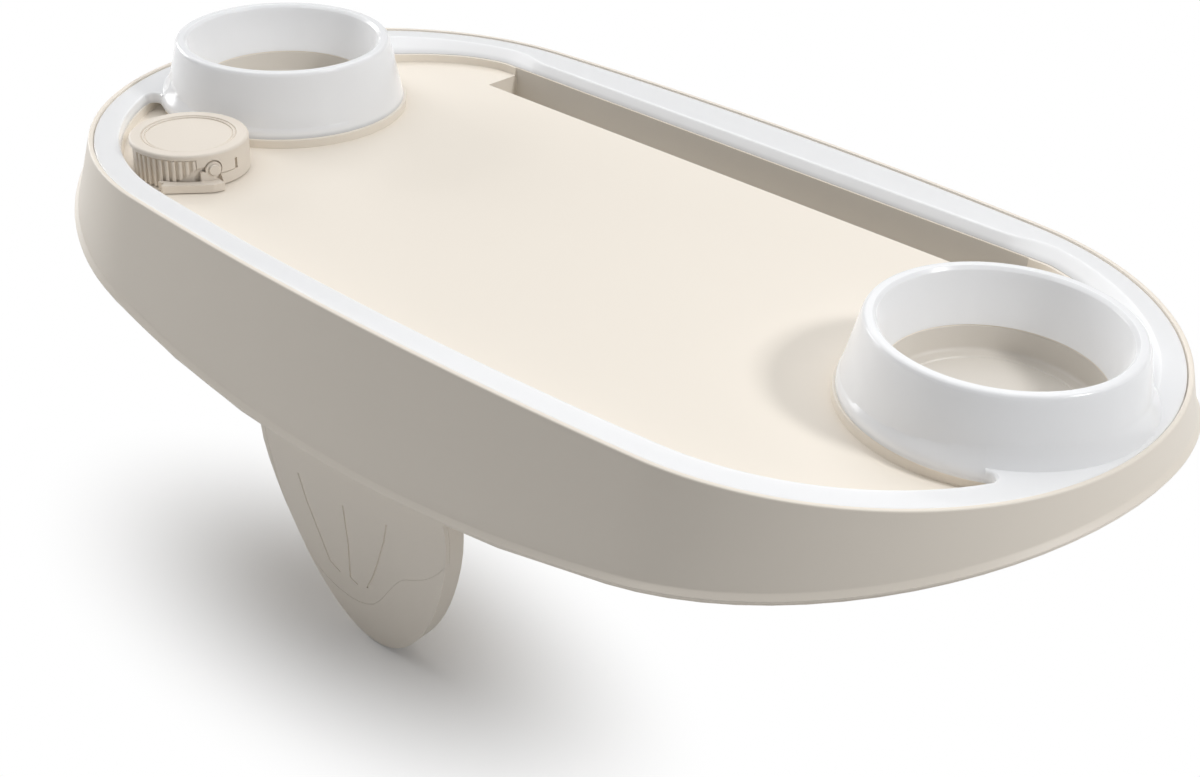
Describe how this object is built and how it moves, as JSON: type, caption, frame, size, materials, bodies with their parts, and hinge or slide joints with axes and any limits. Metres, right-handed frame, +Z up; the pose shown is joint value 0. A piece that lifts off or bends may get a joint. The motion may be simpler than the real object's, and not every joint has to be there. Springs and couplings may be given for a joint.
{
  "type": "hot tub tray",
  "caption": "Oval tray that straddles a hot tub wall on legs, with raised cup rings, a slot for a device, a light band and a battery cap.",
  "frame": {"origin": "centre of the face under the tray that rests on the tub wall", "axes": "+X along the tray, away from the battery cap; -Y the skirt's long side that faces the camera; +Z up"},
  "size_m": [0.5074, 0.2884, 0.1745],
  "materials": {
    "cream": "satin, finely grained cream plastic",
    "panel_cream": "satin cream plastic",
    "cap_cream": "satin cream plastic",
    "inner_cream": "plain moulded plastic",
    "translucent_white": "glossy translucent white",
    "seal_rubber": "matt",
    "screw_steel": "plain",
    "strip_white": "flexible strip",
    "led_yellow": "clear over yellow",
    "board_green": "solder mask",
    "cell_wrap": "plain wrap",
    "lead_black": "flexible sleeve"
  },
  "bodies": {
    "tray": {"upper_housing": "cream", "light_guide": "translucent_white", "base_cover": "cream", "base_gasket": "seal_rubber", "cover_screws": "screw_steel", "front_leg": "cream", "front_leg_panel": "panel_cream", "rear_leg": "cream", "rear_leg_panel": "panel_cream", "leg_screws": "screw_steel", "led_strip": "strip_white", "leds": "led_yellow", "control_board": "board_green", "board_screws": "screw_steel", "battery_tube": "inner_cream", "tube_gasket": "seal_rubber", "tube_nut": "inner_cream", "battery_cell_1": "cell_wrap", "battery_cell_2": "cell_wrap", "battery_cell_3": "cell_wrap", "cell_springs": "screw_steel", "power_lead": "lead_black", "strip_lead": "lead_black"},
    "carrier": {"contact_carrier": "inner_cream", "carrier_strips": "screw_steel"},
    "cap": {"battery_cap": "cap_cream", "cap_seal": "seal_rubber", "latch_pin": "cap_cream"},
    "latch": {"latch_lever": "cap_cream"}
  },
  "joints": [
    {"name": "cap_lift", "type": "slide", "parent": "tray", "child": "carrier", "axis": [0, 0, 1], "range_m": [0, 0.04]},
    {"name": "cap_turn", "type": "hinge", "parent": "carrier", "child": "cap", "pos_m": [-0.15937, -0.07642, 0.03], "axis": [0, 0, 1], "range_deg": [0, 90]},
    {"name": "latch_swing", "type": "hinge", "parent": "cap", "child": "latch", "pos_m": [-0.13521, -0.08244, 0.0293], "axis": [-0.9703, 0.2419, 0], "range_deg": [0, 15]}
  ]
}
